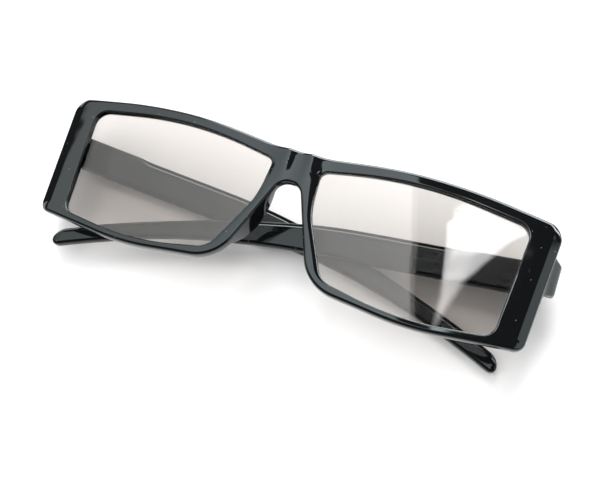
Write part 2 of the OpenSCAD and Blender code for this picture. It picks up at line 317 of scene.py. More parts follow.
class NodeRule(Sheet):
    """A geometry node tree with named inputs for its sizes."""

    def __init__(self, name: str, sizes: dict[str, float], material: Material) -> None:
        """Makes an empty tree.

        Args:
            name: The tree's name.
            sizes: Its named inputs and their values.
            material: What the finished mesh is made of.
        """
        super().__init__(bpy.data.node_groups.new(name, "GeometryNodeTree"))
        for way in ("INPUT", "OUTPUT"):
            self.tree.interface.new_socket("Geometry", in_out=way, socket_type="NodeSocketGeometry")
        for size in sizes:
            self.tree.interface.new_socket(size, in_out="INPUT", socket_type="NodeSocketFloat")
        self.sizes = sizes
        self.material = material
        self.into = self.node("NodeGroupInput")

    def size(self, name: str) -> Term:
        """One of the named inputs."""
        return self.term(self.into.outputs[name])

    def attribute(self, name: str, kind: str = "FLOAT") -> NodeSocket:
        """A named attribute of the mesh that comes in."""
        node = self.node("GeometryNodeInputNamedAttribute", {"Name": name}, data_type=kind)
        return next(s for s in node.outputs if s.enabled and s.name == "Attribute")

    def parts(self, vector: NodeSocket) -> list[Term]:
        """The three values of a vector."""
        return [self.term(s) for s in self.node("ShaderNodeSeparateXYZ", {0: vector}).outputs]

    def vector(self, x: Term | float = 0.0, y: Term | float = 0.0, z: Term | float = 0.0) -> Node:
        """A vector of three values."""
        return self.node("ShaderNodeCombineXYZ", {"X": x, "Y": y, "Z": z})

    def raised(self, piece: Node, z: Term) -> Node:
        """A piece moved up along Z."""
        return self.node("GeometryNodeTransform", {"Geometry": piece, "Translation": self.vector(z=z)})

    def row(self, piece: Node, count: Term | int, first: Node, step: Node) -> Node:
        """Repeats a piece in a row, turned from Z to the hinge's axis.

        Args:
            piece: What is repeated.
            count: How many there are.
            first: Where the first one sits.
            step: The way from each one to the next.

        Returns:
            The row.
        """
        line = self.node("GeometryNodeMeshLine", {"Count": count, "Start Location": first, "Offset": step})
        inputs = {"Points": line, "Instance": piece, "Rotation": (-math.pi / 2, 0, 0)}
        return self.node("GeometryNodeInstanceOnPoints", inputs)

    def close(self, result: Node) -> None:
        """Ends the tree in real geometry with its material.

        Args:
            result: The node that puts out the finished geometry.
        """
        real = self.node("GeometryNodeRealizeInstances", {0: result})
        dressed = self.node("GeometryNodeSetMaterial", {"Geometry": real, "Material": self.material})
        self.node("NodeGroupOutput", {0: dressed})

    def run(self, base: Mesh) -> Mesh:
        """Runs the rule on a mesh.

        Args:
            base: The mesh that comes in.

        Returns:
            The result as a plain mesh.
        """
        carrier = linked("rule", base)
        modifier = carrier.modifiers.new("rule", "NODES")
        modifier.node_group = self.tree
        for item in self.tree.interface.items_tree:
            if item.in_out == "INPUT" and item.name in self.sizes:
                modifier[item.identifier] = float(self.sizes[item.name])
        return plain_mesh(carrier)


def linked(name: str, data: ID) -> Object:
    """A new object in the scene.

    Args:
        name: Its name.
        data: Its mesh, light or camera.

    Returns:
        The object, at the origin.
    """
    thing = bpy.data.objects.new(name, data)
    bpy.context.scene.collection.objects.link(thing)
    return thing


def plain_mesh(carrier: Object) -> Mesh:
    """The evaluated mesh of an object, which is then removed.

    Args:
        carrier: The object with its modifiers.

    Returns:
        The mesh with the modifiers' result in it.
    """
    graph = bpy.context.evaluated_depsgraph_get()
    mesh = bpy.data.meshes.new_from_object(carrier.evaluated_get(graph), depsgraph=graph)
    bpy.data.objects.remove(carrier)
    return mesh


def poured(work: bmesh.types.BMesh, mesh: Mesh) -> Mesh:
    """Writes finished work into a mesh.

    Args:
        work: The work, which is freed.
        mesh: The mesh that takes it.

    Returns:
        The same mesh.
    """
    work.to_mesh(mesh)
    work.free()
    return mesh


def moved(mesh: Mesh, place: Matrix) -> Mesh:
    """Takes a mesh to its place, with its faces still outward where that mirrors it.

    Args:
        mesh: The mesh.
        place: What takes it there.

    Returns:
        The same mesh.
    """
    mesh.transform(place)
    if place.determinant() < 0:
        mesh.flip_normals()
    return mesh


def ring_faces(n: int, m: int, rows: int) -> list[tuple[int, ...]]:
    """The quads of a skin through rings of points.

    Args:
        n: How many rings there are.
        m: How many points each ring has.
        rows: Rows of quads, which is n where the last ring joins the first and else n - 1.

    Returns:
        The numbers of each quad's points.
    """
    return [
        (i * m + k, (i + 1) % n * m + k, (i + 1) % n * m + (k + 1) % m, i * m + (k + 1) % m)
        for i in range(rows)
        for k in range(m)
    ]


def tube(points: list[Triple], m: int) -> Mesh:
    """A mesh through rings of m points each, closed at both ends.

    Args:
        points: The points of all rings, one ring after the other.
        m: How many points each ring has.

    Returns:
        The mesh, with its faces as they come.
    """
    n = len(points) // m
    caps = [tuple(range(m)), tuple(range((n - 1) * m, n * m))]
    mesh = bpy.data.meshes.new("tube")
    mesh.from_pydata(points, [], ring_faces(n, m, n - 1) + caps)
    return mesh


def skinned(rings: list[list[Vector]]) -> Mesh:
    """A closed solid through rings with the same number of points."""
    return outward(tube([p[:] for ring in rings for p in ring], len(rings[0])))


def outward(mesh: Mesh, merge: float = 1e-4) -> Mesh:
    """Merges doubled points and turns the faces outwards.

    Args:
        mesh: A closed mesh.
        merge: Distance within which points are one.

    Returns:
        The same mesh.
    """
    work = bmesh.new()
    work.from_mesh(mesh)
    bmesh.ops.remove_doubles(work, verts=work.verts, dist=merge)
    bmesh.ops.recalc_face_normals(work, faces=work.faces)
    return poured(work, mesh)


def joined(meshes: list[Mesh]) -> Mesh:
    """Several meshes as one.

    Args:
        meshes: The meshes, in one frame.

    Returns:
        A new mesh with all their faces.
    """
    work = bmesh.new()
    for mesh in meshes:
        work.from_mesh(mesh)
    return poured(work, bpy.data.meshes.new("joined"))


def combined(base: Mesh, others: list[Mesh], operation: str) -> Mesh:
    """Adds solids to a solid or cuts them from it.

    Args:
        base: The solid that is kept.
        others: The solids that are added or cut away.
        operation: UNION or DIFFERENCE.

    Returns:
        The result as a plain mesh.
    """
    for other in others:
        carrier, tool = linked("kept", base), linked("tool", other)
        modifier = carrier.modifiers.new("join", "BOOLEAN")
        modifier.operation = operation
        modifier.solver = "EXACT"
        modifier.object = tool
        base = plain_mesh(carrier)
        bpy.data.objects.remove(tool)
    return base


def block(low: Triple, high: Triple, round_r: float = 0.0) -> Mesh:
    """A box between two corners, with its edges rounded where a radius is given.

    Args:
        low: The corner with the smallest values.
        high: The corner with the largest values.
        round_r: The edges' radius.

    Returns:
        The box's mesh.
    """
    work = bmesh.new()
    size = Vector(high) - Vector(low)
    place = Matrix.Translation((Vector(low) + Vector(high)) / 2) @ Matrix.Diagonal((*size, 1))
    bmesh.ops.create_cube(work, size=1, matrix=place)
    if round_r:
        bmesh.ops.bevel(work, geom=work.edges[:], offset=round_r, segments=3, profile=0.5, affect="EDGES")
    return poured(work, bpy.data.meshes.new("block"))


class Piece:
    """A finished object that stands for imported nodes."""

    def __init__(self, name: str, mesh: Mesh, place: Matrix = AS_DRAWN, crease: float = 32) -> None:
        """Lays a mesh on the table and shades it.

        Args:
            name: The piece's name.
            mesh: Its mesh in millimetres.
            place: Where it goes in the front's frame.
            crease: Angle in degrees past which an edge stays sharp.
        """
        moved(mesh, PLACE @ place)
        mesh.shade_smooth()
        mesh.set_sharp_from_angle(angle=math.radians(crease))
        mesh.name = name
        self.object = linked(name, mesh)

    def stand(self, body: str, slot: Slot, material: Material, *nodes: str) -> None:
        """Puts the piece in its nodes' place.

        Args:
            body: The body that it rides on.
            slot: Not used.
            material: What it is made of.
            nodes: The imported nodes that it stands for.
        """
        self.object.data.materials.clear()
        self.object.data.materials.append(material)
        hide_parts(*nodes)
        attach(self.object, body)
        LOG.info("%s: %d faces", self.object.name, len(self.object.data.polygons))


class Handling:
    """What handling leaves on a moulded surface: soft waviness, hairlines and fine dust."""

    NAME = "handling marks"
    SCALES = {"Wave scale": 90.0, "Hairline scale": 700.0, "Dust scale": 1500.0}
    MARKS = ("Height", "Wear", "Dust")
    HAIR_TURN = (0.4, 0.2, 0.7)
    HAIR_STRETCH = (1, 14, 14)
    HAIR_EDGE = (0.66, 0.74)
    PATCH_SCALE = 60.0
    PATCH_EDGE = (0.45, 0.75)
    PATCH_WEAR = 0.25
    SPECK_EDGE = (0.10, 0.22)
    SPECK_RARE = (0.975, 0.985)

    @classmethod
    def group(cls) -> NodeTree:
        """The shader node group, built once.

        Returns:
            A group that puts out a height, a mask of worn gloss and a mask of dust.
        """
        found = bpy.data.node_groups.get(cls.NAME)
        if found:
            return found
        tree = bpy.data.node_groups.new(cls.NAME, "ShaderNodeTree")
        for name, value in cls.SCALES.items():
            socket = tree.interface.new_socket(name, in_out="INPUT", socket_type="NodeSocketFloat")
            socket.default_value = value
        for name in cls.MARKS:
            tree.interface.new_socket(name, in_out="OUTPUT", socket_type="NodeSocketFloat")
        sheet = Sheet(tree)
        scales = sheet.node("NodeGroupInput").outputs
        place = sheet.node("ShaderNodeTexCoord").outputs["Object"]
        stretch = {"Vector": place, "Rotation": cls.HAIR_TURN, "Scale": cls.HAIR_STRETCH}
        turned = sheet.node("ShaderNodeMapping", stretch)
        wave = sheet.node("ShaderNodeTexNoise", {"Vector": place, "Scale": scales[0], "Detail": 1.0})
        hair = sheet.node("ShaderNodeTexNoise", {"Vector": turned, "Scale": scales[1], "Detail": 2.0})
        patch = sheet.node("ShaderNodeTexNoise", {"Vector": place, "Scale": cls.PATCH_SCALE, "Detail": 3.0})
        speck = sheet.node("ShaderNodeTexVoronoi", {"Vector": place, "Scale": scales[2], "Randomness": 1.0})
        rare = sheet.node("ShaderNodeTexWhiteNoise", {"Vector": speck.outputs["Position"]})
        worn = sheet.ramp(patch, *cls.PATCH_EDGE)
        scuff = sheet.ramp(hair, *cls.HAIR_EDGE) * worn + worn * cls.PATCH_WEAR
        dot = sheet.ramp(speck.outputs["Distance"], *cls.SPECK_EDGE, (1.0, 0.0))
        dust = dot * sheet.ramp(rare.outputs["Value"], *cls.SPECK_RARE)
        sheet.node("NodeGroupOutput", dict(zip(cls.MARKS, (wave, scuff, dust))))
        return tree

    @classmethod
    def marks(cls, sheet: Sheet, scales: dict[str, float] | None = None) -> tuple[Term, ...]:
        """Adds the group to a material.

        Args:
            sheet: The material's nodes.
            scales: The group's inputs that differ from its own values.

        Returns:
            The height, the wear and the dust.
        """
        node = sheet.node("ShaderNodeGroup", scales, node_tree=cls.group())
        return tuple(sheet.term(node.outputs[name]) for name in cls.MARKS)


def new_material(name: str) -> tuple[Material, Sheet, Node]:
    """A new material, its nodes and its main shader.

    Args:
        name: The material's name.

    Returns:
        The material, its sheet and its Principled shader.
    """
    material = bpy.data.materials.new(name)
    material.use_nodes = True
    tree = material.node_tree
    return material, Sheet(tree), tree.nodes["Principled BSDF"]


@dataclass(frozen=True)
class PlasticFinish:
    """Glossy black moulded plastic with the marks of handling."""

    name: str
    colour: Triple = (0.004, 0.0042, 0.0046)
    sheen: Triple = (0.84, 0.97, 1.0)
    dust_colour: Triple = (0.22, 0.22, 0.21)
    gloss: float = 0.045
    level: float = 0.5
    ior: float = 1.52
    worn: float = 0.16
    dust_rough: float = 0.5
    wave_height: float = 0.00012

    def build(self) -> Material:
        """The material.

        Returns:
            A new material of this finish.
        """
        material, sheet, shader = new_material(self.name)
        height, wear, dust = Handling.marks(sheet)
        rough = sheet.ramp(wear, 0.0, 1.0, (self.gloss, self.worn))
        sheet.feed(shader, {
            "Base Color": sheet.blend(dust, self.colour, self.dust_colour),
            "Roughness": dust * self.dust_rough + rough,
            "Normal": sheet.bump(height, self.wave_height),
            "IOR": self.ior,
            "Specular Tint": (*self.sheen, 1),
            "Specular IOR Level": self.level,
        })
        return material


@dataclass(frozen=True)
class LensFinish:
    """Clear laminated film with a pale warm-grey tint and faint smears."""

    name: str
    tint: Triple = (0.66, 0.632, 0.61)
    shadow: Triple = (0.70, 0.68, 0.665)
    smear: float = 0.02
    smear_from: float = 0.3
    wave_scale: float = 60.0
    wave_height: float = 0.00003
    lean: float = 0.021
    ior: float = 1.49

    def build(self) -> Material:
        """The material, which lets lamps through to what is behind it.

        Returns:
            A new material of this finish.
        """
        material, sheet, shader = new_material(self.name)
        height, wear, _ = Handling.marks(sheet, {"Wave scale": self.wave_scale})
        place = sheet.node("ShaderNodeTexCoord").outputs["Object"]
        across = sheet.term(sheet.node("ShaderNodeSeparateXYZ", {"Vector": place}).outputs["Y"])
        sheet.feed(shader, {
            "Base Color": (*self.tint, 1),
            "Roughness": sheet.ramp(wear, self.smear_from, 1.0, (0.0, self.smear)),
            "Normal": sheet.bump(height * self.wave_height + across * self.lean, 1.0),
            "Transmission Weight": 1.0,
            "IOR": self.ior,
        })
        clear = sheet.node("ShaderNodeBsdfTransparent", {"Color": (*self.shadow, 1)})
        shaded = sheet.node("ShaderNodeLightPath").outputs["Is Shadow Ray"]
        mix = sheet.node("ShaderNodeMixShader", {"Fac": shaded, 1: shader, 2: clear})
        sheet.feed(sheet.tree.nodes["Material Output"], {"Surface": mix})
        return material


@dataclass(frozen=True)
class SteelFinish:
    """Turned and stamped steel with fine brushing."""

    name: str
    colour: Triple = (0.03, 0.03, 0.032)
    rough: float = 0.24
    spread: float = 0.18
    worn_shade: float = 0.7
    wave_scale: float = 900.0
    hairline_scale: float = 2500.0
    wave_height: float = 0.00002
    wave_strength: float = 0.4

    def build(self) -> Material:
        """The material.

        Returns:
            A new material of this finish.
        """
        material, sheet, shader = new_material(self.name)
        scales = {"Wave scale": self.wave_scale, "Hairline scale": self.hairline_scale}
        height, wear, _ = Handling.marks(sheet, scales)
        dull = tuple(self.worn_shade * c for c in self.colour)
        sheet.feed(shader, {
            "Base Color": sheet.blend(wear, self.colour, dull),
            "Roughness": sheet.ramp(wear, 0.0, 1.0, (self.rough, self.rough + self.spread)),
            "Normal": sheet.bump(height, self.wave_height, self.wave_strength),
            "Metallic": 1.0,
        })
        return material


@dataclass
class Front:
    """The moulded front: both rims, the bridge, the nose pads and the end pieces."""

    # Outer edge
    foot_w: float = 142.6
    wrap_r: float = 250.0
    front_t: float = 3.4
    bridge_top: float = 16.3
    bridge_x: float = 7.0
    brow_x: float = 36.5
    brow_top: float = 20.4
    side_top: float = 18.0
    side_foot: float = 17.9
    cheek_x: float = 41.0
    cheek_low: float = 22.3
    nose_x: float = 13.0
    nose_low: float = 19.6
    arch_x: float = 2.7
    arch_top: float = 6.7
    corner_r: float = 4.5
    foot_r: float = 3.2
    nose_r: float = 12.0
    arch_r: float = 3.5
    soft_r: float = 75.0
    bend_r: float = 25.0
    brow_r: float = 200.0
    # Eye openings
    rim_top: float = 3.0
    rim_bridge: float = 4.1
    rim_side: float = 8.5
    rim_bottom: float = 1.5
    rim_foot: float = 1.2
    rim_nose: float = 2.5
    rim_nose_foot: float = 4.3
    eye_gap: float = 14.0
    eye_foot: float = 2.7
    eye_mid_y: float = 0.5
    eye_brow_in: float = 4.0
    eye_cheek_in: float = 3.0
    eye_in_r: float = 2.4
    eye_out_r: float = 4.0
    eye_nose_r: float = 6.0
    eye_brow_r: float = 130.0
    eye_seam: tuple[float, float] = (0.78, 0.62)
    # Roundings and slopes
    edge_r: float = 0.9
    end_edge_r: float = 2.8
    end_edge_d: float = 1.5
    end_slope_d: float = 0.55
    end_turn_r: float = 0.5
    back_edge_r: float = 0.7
    back_bevel: float = 0.3
    nose_slope_w: float = 0.7
    nose_slope_d: float = 0.26
    nose_slope_turn: float = 0.3
    # Hollow and ridges of the bridge
    bridge_dip: float = 0.95
    dip_from: float = 3.4
    dip_run: float = 7.0
    dip_back: float = 10.0
    dip_fade: float = 24.0
    dip_low: float = 2.0
    dip_rise: float = 12.0
    hollow_d: float = 0.75
    hollow_from: float = 0.4
    hollow_run: float = 3.4
    # Lens groove
    lip_r: float = 0.35
    lip_flat: float = 0.2
    lip_t: float = 1.2
    lip_least: float = 0.05
    groove_d: float = 0.6
    lens_t: float = 1.14
    lens_fit: float = 0.06
    # Nose pads
    pad_d: float = 7.5
    pad_t: float = 1.7
    pad_clear: float = 3.0
    pad_power: float = 0.8
    pad_edge: float = 0.3
    pad_least: float = 0.1
    pad_heel: float = 0.5
    pad_root: float = 0.2
    # End pieces, with the lift and the tuck of the rings round the butt face
    lug_fillet: float = 4.5
    lug_inner: float = 0.7
    lug_in: float = 1.3
    lug_flare: float = 1.25
    lug_edge: tuple[tuple[float, float], ...] = ((0.12, 0.0), (0.03, 0.08), (0.0, 0.25))
    # Steps along the outlines, as numbers, and across the cuts, as numbers or shares
    arc_n: int = 18
    run_n: tuple[int, ...] = (6, 12, 16, 14, 16, 10, 34, 4)
    seam_n: int = 10
    bow_n: int = 10
    back_n: int = 5
    lip_n: int = 4
    heel_steps: tuple[float, ...] = (0.0, 0.35, 0.7)
    back_steps: tuple[float, ...] = (0.0, 0.3, 0.65, 1.0)
    face_steps: tuple[float, ...] = (0.0, 0.15, 0.3, 0.45, 0.6, 0.75, 0.9)
    lug_n: int = 34
    lug_edge_n: int = 6
    middle_fit: float = 1e-6

    def wrap_z(self, x: float) -> float:
        """Depth of the wrapped face at a distance from the middle."""
        return math.sqrt(self.wrap_r**2 - x * x) - self.wrap_r

    def corner(self, a: Vector, b: Vector, c: Vector, r: float) -> list[Station]:
        """One rounded corner of an outline.

        Args:
            a: The corner before it.
            b: The corner itself.
            c: The corner after it.
            r: Its radius.

        Returns:
            Points on the rounding with the side normal that lies left of travel.
        """
        u, v = (a - b).normalized(), (c - b).normalized()
        half = math.acos(max(-1.0, min(1.0, u.dot(v)))) / 2
        middle = b + (u + v).normalized() * r / math.sin(half)
        start = b + u * r / math.tan(half) - middle
        way = math.copysign(1, u.x * v.y - u.y * v.x)
        first, sweep = math.atan2(start.y, start.x), math.pi - 2 * half
        spots = [first - way * sweep * i / self.arc_n for i in range(self.arc_n + 1)]
        rays = [Vector((math.cos(t), math.sin(t))) for t in spots]
        return [(middle + r * ray, way * ray) for ray in rays]

    def outline(self, corners: list[tuple[float, ...]], first: Vector, last: Vector) -> list[Station]:
        """An open path through rounded corners, with its straight runs split up.

        Args:
            corners: Corners as x, y and, between the ends, a radius.
            first: Side normal at the start.
            last: Side normal at the end.

        Returns:
            The stations along the path.
        """
        spots = [Vector(c[:2]) for c in corners]
        bends = [self.corner(*spots[i - 1 : i + 2], corners[i][2]) for i in range(1, len(spots) - 1)]
        path = [(spots[0], first)]
        for i, count in enumerate(self.run_n):
            a = spots[0] if i == 0 else bends[i - 1][-1][0]
            b = spots[-1] if i == len(bends) else bends[i][0][0]
            way = (b - a).normalized()
            side = Vector((-way.y, way.x))
            path += [(a + (b - a) * k / (count + 1), side) for k in range(1, count + 1)]
            path += bends[i] if i < len(bends) else []
        return path + [(spots[-1], last)]

    def rim_edge(self) -> list[Station]:
        """Half the outer edge, from the middle of the bridge round to the arch.

        Returns:
            The stations along it.
        """
        corners = [
            (0, self.bridge_top),
            (self.bridge_x, self.bridge_top, self.bend_r),
            (self.brow_x, self.brow_top, self.brow_r),
            (HINGES.front_w / 2, self.side_top, self.corner_r),
            (self.foot_w / 2, -self.side_foot, self.foot_r),
            (self.cheek_x, -self.cheek_low, self.soft_r),
            (self.nose_x, -self.nose_low, self.nose_r),
            (self.arch_x, self.arch_top, self.arch_r),
            (0, self.arch_top),
        ]
        return self.outline(corners, Vector((0, 1)), Vector((0, -1)))

    def nose_edge(self, y: float) -> float:
        """Distance of the nose opening's side from the middle at a height."""
        share = (self.arch_top - y) / (self.arch_top + self.nose_low)
        return self.arch_x + (self.nose_x - self.arch_x) * share

    def eye_edge(self) -> list[Station]:
        """The eye opening, which keeps its rim's widths from the outer edge.

        Returns:
            The stations round it, each matching one of the outer edge.
        """
        foot = self.eye_foot - self.nose_low
        nose = Vector((self.nose_edge(foot) + self.rim_nose_foot, foot))
        mid = Vector((self.nose_edge(self.eye_mid_y) + self.rim_nose, self.eye_mid_y))
        inner = Vector((self.eye_gap / 2, self.bridge_top - self.rim_bridge))
        start, end = (tuple(mid + (inner - mid) * share) for share in self.eye_seam)
        way = (inner - mid).normalized()
        side = Vector((-way.y, way.x))
        corners = [
            start,
            (*inner, self.eye_in_r),
            (self.brow_x - self.eye_brow_in, self.brow_top - self.rim_top, self.eye_brow_r),
            (HINGES.front_w / 2 - self.rim_side, self.side_top - self.rim_top, self.eye_out_r),
            (self.foot_w / 2 - self.rim_side, self.rim_foot - self.side_foot, self.eye_out_r),
            (self.cheek_x - self.eye_cheek_in, self.rim_bottom - self.cheek_low, self.soft_r),
            (*nose, self.eye_nose_r),
            (*mid, self.bend_r),
            end,
        ]
        return self.outline(corners, side, side)

    def pad_share(self, q: Vector) -> float:
        """How far the nose pad swells beside a point of the outer edge.

        Args:
            q: The point.

        Returns:
            A share from 0 to 1.
        """
        low = self.nose_low - self.nose_r / 2
        u = (q.y + low) / (self.arch_top + low - self.pad_clear)
        return math.sin(math.pi * u) ** self.pad_power if q.x < self.nose_x and 0 < u < 1 else 0.0

    def dip(self, q: Vector) -> float:
        """How far the face lies back in the bridge's hollow and beside the two ridges along it.

        Args:
            q: A point of the face.

        Returns:
            The depth.
        """
        far = abs(q.x)
        run = min(1.0, max(0.0, (far - self.dip_from) / self.dip_run))
        along = run * (2 - run) * (1 - ease((far - self.dip_back) / self.dip_fade))
        hollow = self.hollow_d * (1 - ease((far - self.hollow_from) / self.hollow_run))
        return (self.bridge_dip * along + hollow) * ease((q.y - self.dip_low) / self.dip_rise)

    def rounding(self, side: float) -> list[tuple[float, float]]:
        """The face's outer rounding, which turns into a flat slope with a tight edge at the ends.

        Args:
            side: 0 along the top and bottom, 1 at the ends.

        Returns:
            Distances in from the outer edge and depths, from the face outward.
        """
        r = self.edge_r + (self.end_edge_r - self.edge_r) * side
        d = self.edge_r + (self.end_edge_d - self.edge_r) * side
        half = self.bow_n // 2
        top, turn = Vector((r, 0)), Vector((self.end_turn_r, self.end_slope_d))
        flat = [top.lerp(turn, i / half) for i in range(half)]
        edge = [Vector((turn.x * (1 - math.sin(a)), d - (d - turn.y) * math.cos(a))) for a in quarter(half)]
        bow = [Vector((r * (1 - math.sin(a)), d * (1 - math.cos(a)))) for a in quarter(self.bow_n)]
        return [tuple(b.lerp(slope, side)) for b, slope in zip(bow, flat + edge)]

    def cut(self, outer: Station, inner: Station) -> list[Vector]:
        """One cut through the rim.

        Args:
            outer: A station of the outer edge.
            inner: The matching station of the eye.

        Returns:
            Points round the cut as x, y and depth, from the face's outer rounding to its lip.
        """
        (q, n), (p, m) = outer, inner
        swell = self.pad_share(q)
        deep = self.front_t + self.pad_d * swell
        b = self.back_edge_r + self.pad_edge * swell
        wide = b + self.pad_least + (self.pad_t - b - self.pad_least) * swell
        groove = self.lip_t + self.lens_t + 2 * self.lens_fit
        bow = [(q - n * far, -depth) for far, depth in self.rounding(max(0.0, n.x) ** 2)]
        # Outer side and back, with the nose pad's heel and root
        flat = [(spot, depth - self.dip(spot)) for spot, depth in bow]
        flat += [(q - n * b * (1 - math.cos(a)), -deep + b * (1 - math.sin(a))) for a in quarter(self.back_n)]
        heel, heel_z = q - n * wide, -deep + self.pad_heel * swell
        root, root_z = q - n * (wide + self.pad_root), -self.front_t
        back = p + m * self.back_bevel
        flat += [(heel.lerp(root, t), heel_z + (root_z - heel_z) * t) for t in self.heel_steps]
        flat += [(root.lerp(back, t), root_z) for t in self.back_steps]
        # Eye side, with the lens groove
        flat += [(p, self.back_bevel - self.front_t), (p, -groove)]
        bed = p + m * self.groove_d
        flat += [(bed, -groove), (bed, -self.lip_t), (p, -self.lip_t)]
        # Lip, slope and face
        nose = max(0.0, -m.x) ** 2
        low = self.nose_slope_d * nose
        lip = [(1 - math.cos(a), 1 - math.sin(a)) for a in quarter(self.lip_n)]
        face = [(p + m * self.lip_r * far, -low - self.lip_r * depth) for far, depth in lip]
        start, end = p + m * (self.lip_r + self.lip_flat + self.nose_slope_w * nose), bow[0][0]
        turn = self.nose_slope_turn
        face += [(start.lerp(face[-1][0], turn), -turn * low)]
        face += [(start.lerp(end, t), 0.0) for t in self.face_steps]
        least = self.lip_least - self.lip_t
        flat += [(spot, max(least, depth - self.dip(spot))) for spot, depth in face]
        return [Vector((*spot, depth)) for spot, depth in flat]

    def rims(self) -> Mesh:
        """Both rims and the bridge as one skin; the halves meet in the middle plane.

        Returns:
            The closed mesh.
        """
        cuts = [self.cut(o, i) for o, i in zip(self.rim_edge(), self.eye_edge())]
        ends = list(zip(cuts[-1], cuts[0]))
        cuts += [[a.lerp(b, k / self.seam_n) for a, b in ends] for k in range(1, self.seam_n)]
        half = [(p.x, p.y, self.wrap_z(p.x) + p.z) for ring in cuts for p in ring]
        quads = ring_faces(len(cuts), len(ends), len(cuts))
        kept = [f for f in quads if max(abs(half[i][0]) for i in f) > self.middle_fit]
        other = [tuple(i + len(half) for i in reversed(f)) for f in kept]
        mesh = bpy.data.meshes.new("rims")
        mesh.from_pydata(half + [(-x, y, z) for x, y, z in half], [], kept + other)
        return outward(mesh)

    def end_piece(self) -> Mesh:
        """The left end piece, which flares out of the front and ends in a butt face.

        Returns:
            The closed mesh.
        """
        edge, r, y = HINGES.front_w / 2, HINGES.temple_edge, HINGES.hinge_y
        root = self.wrap_z(edge) - self.front_t / 2
        end = HINGES.butt_fit / 2 - HINGES.lug_back
        inside = edge + HINGES.lug_out - HINGES.temple_t
        steps = [(k / self.lug_n, 0.0, 0.0) for k in range(self.lug_n)]
        steps += [(1.0, lift, tuck) for lift, tuck in self.lug_edge]
        rings = []
        for u, lift, tuck in steps:
            z = root * (1 - u) + end * u + lift
            free = max(0.0, self.wrap_z(HINGES.x) - self.front_t - z)
            swell = self.lug_fillet - math.sqrt(self.lug_fillet**2 - max(0.0, self.lug_fillet - free) ** 2)
            x0 = inside - swell * self.lug_inner + tuck + r
            x1 = edge - self.lug_in + (HINGES.lug_out + self.lug_in) * ease(u * self.lug_flare) - tuck - r
            half = HINGES.temple_h / 2 + swell - tuck - r
            corners = ((x1, y + half), (x0, y + half), (x0, y - half), (x1, y - half))
            rings.append(self.rounded_ring(corners, r, z))
        return skinned(rings)

    def rounded_ring(self, corners: tuple[tuple[float, float], ...], r: float, z: float) -> list[Vector]:
        """Points round a rectangle, given by the middles of its rounded corners, at a depth.

        Args:
            corners: The middles, anticlockwise from the upper right one.
            r: The corners' radius.
            z: The depth.

        Returns:
            The points.
        """
        ring = []
        for i, (x, y) in enumerate(corners):
            for a in quarter(self.lug_edge_n):
                t = a + math.pi / 2 * i
                ring.append(Vector((x + r * math.cos(t), y + r * math.sin(t), z)))
        return ring

    def build(self, material: Material) -> None:
        """Makes the front and stands it in its node's place.

        Args:
            material: What it is moulded in.
        """
        lugs = [moved(self.end_piece(), side.flip) for side in Side]
        mesh = combined(self.rims(), lugs, "UNION")
        pockets = [moved(Leaf.pocket(HINGES.leaf_front), HINGES.on_front(side)) for side in Side]
        mesh = combined(mesh, pockets, "DIFFERENCE")
        Piece("front", mesh).stand("front", Slot.FRAME, material, "front_frame")


@dataclass
class Lens:
    """One laminated lens, sprung into its groove with a slight dome."""

    side: Side
    front: Front
    dome: float = 0.1
    steps: int = 14
    crease: float = 40.0

    def skin(self, depth: float, edge: list[Vector], middle: Vector) -> list[list[Vector]]:
        """One face of the lens, as rings from its edge to its middle.

        Args:
            depth: How far the face lies behind the front's face.
            edge: The lens's outline.
            middle: The outline's middle.

        Returns:
            Rings of points.
        """
        rings = []
        for i in range(self.steps):
            share = 1 - i / self.steps
            bulge = self.dome * (1 - share * share)
            spots = [middle + (e - middle) * share for e in edge]
            rings.append([Vector((s.x, s.y, self.front.wrap_z(s.x) - depth + bulge)) for s in spots])
        return rings

    def build(self, material: Material) -> None:
        """Makes the lens and stands it in its three layers' place.

        Args:
            material: What it is made of.
        """
        grown = self.front.groove_d - self.front.lens_fit
        edge = [p + m * grown for p, m in self.front.eye_edge()]
        middle = sum(edge, Vector((0, 0))) / len(edge)
        near = self.front.lip_t + self.front.lens_fit
        face = self.skin(near, edge, middle)
        back = self.skin(near + self.front.lens_t, edge, middle)
        word = self.side.word
        names = [f"{word}_{layer}" for layer in ("retarder", "polariser", "carrier")]
        piece = Piece(f"{word}_lens", skinned(face[::-1] + back), self.side.flip, self.crease)
        piece.stand("front", Slot.LENS, material, *names)


